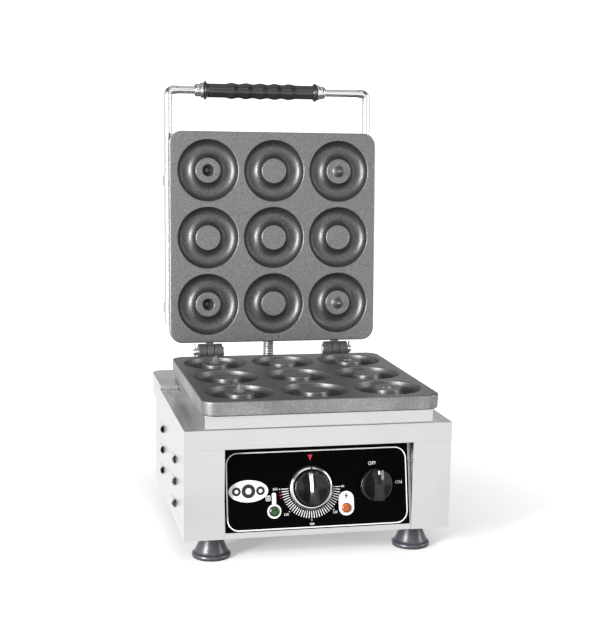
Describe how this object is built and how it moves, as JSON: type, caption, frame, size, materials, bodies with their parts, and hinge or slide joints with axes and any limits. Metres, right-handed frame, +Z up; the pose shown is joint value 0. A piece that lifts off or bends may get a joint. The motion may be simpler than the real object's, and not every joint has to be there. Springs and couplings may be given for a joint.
{
  "type": "ring doughnut maker",
  "caption": "Countertop ring doughnut maker with two hinged cup plates, a steel body, dial and switch knobs, and a grip handle.",
  "frame": {"origin": "on the floor plane under the middle of the outline, with the lid open", "axes": "+X to the operator's right, +Y from the front to the back, +Z up"},
  "size_m": [0.291, 0.3196, 0.4954],
  "materials": {
    "stainless": "brushed stainless sheet",
    "coated_plate": "cast aluminium with a dark grey non-stick coating",
    "overlay_film": "printed gloss black film",
    "element": "heat-stained tubular element",
    "ceramic_fibre": "soft white fibre board",
    "case_cream": "cream moulded case",
    "copper": "drawn copper",
    "polished_chrome": "bright chrome plating",
    "black_plastic": "black moulded plastic",
    "knob_plastic": "black moulded knob",
    "lens_green": "green lamp lens",
    "lens_orange": "orange lamp lens",
    "porcelain": "glazed porcelain",
    "wire_sleeve": "braided heat-proof sleeve",
    "rubber_foot": "black rubber",
    "zinc_steel": "zinc-plated steel",
    "hose_metal": "ribbed metal hose",
    "grip_black": "glossy black moulded grip"
  },
  "bodies": {
    "base": {"side_panel_left": "stainless", "side_panel_right": "stainless", "top_cover": "stainless", "plinth": "stainless", "rear_deck": "stainless", "rear_panel": "stainless", "bottom_plate": "stainless", "control_panel": "stainless", "panel_overlay": "overlay_film", "lower_plate": "coated_plate", "hinge_bracket_left": "coated_plate", "hinge_bracket_right": "coated_plate", "lower_heater": "element", "lower_heater_clamps": "stainless", "lower_insulation": "ceramic_fibre", "heat_shield": "stainless", "thermostat_body": "case_cream", "thermostat_bulb": "copper", "thermostat_bezel": "polished_chrome", "switch_body": "black_plastic", "lamp_lens_green": "lens_green", "lamp_lens_orange": "lens_orange", "lamp_housing_green": "black_plastic", "lamp_housing_orange": "black_plastic", "terminal_block": "porcelain", "cable_gland": "black_plastic", "wiring": "wire_sleeve", "foot_front_left": "rubber_foot", "foot_front_right": "rubber_foot", "foot_rear_left": "rubber_foot", "foot_rear_right": "rubber_foot", "foot_screws": "zinc_steel", "rear_screws": "zinc_steel", "plinth_screws": "zinc_steel", "hinge_pin_left": "zinc_steel", "hinge_pin_right": "zinc_steel", "cotter_pins": "zinc_steel", "conduit_nut_base": "hose_metal", "conduit": "hose_metal"},
    "lid": {"upper_plate": "coated_plate", "hinge_tongue_left": "coated_plate", "hinge_tongue_right": "coated_plate", "lid_cover": "stainless", "upper_heater": "element", "upper_heater_clamps": "stainless", "upper_insulation": "ceramic_fibre", "handle_arm_left": "polished_chrome", "handle_arm_right": "polished_chrome", "handle_bar": "polished_chrome", "handle_grip": "grip_black", "grip_ferrule_left": "polished_chrome", "grip_ferrule_right": "polished_chrome", "handle_clips": "stainless", "clip_screws": "zinc_steel", "cover_screws": "zinc_steel", "conduit_nut_lid": "hose_metal"},
    "thermostat_dial": {"thermostat_knob": "knob_plastic", "thermostat_shaft": "zinc_steel"},
    "switch_dial": {"switch_knob": "knob_plastic", "switch_shaft": "zinc_steel"}
  },
  "joints": [
    {"name": "lid_hinge", "type": "hinge", "parent": "base", "child": "lid", "pos_m": [0, 0.1012, 0.176], "axis": [1, 0, 0], "range_deg": [0, 93], "deforming": ["conduit"]},
    {"name": "thermostat_turn", "type": "hinge", "parent": "base", "child": "thermostat_dial", "pos_m": [-0.0075, -0.13686, 0.07356], "axis": [0, 0.9781, -0.2079], "range_deg": [0, 270]},
    {"name": "switch_turn", "type": "hinge", "parent": "base", "child": "switch_dial", "pos_m": [0.062, -0.13686, 0.07356], "axis": [0, 0.9781, -0.2079], "range_deg": [0, 90]}
  ]
}
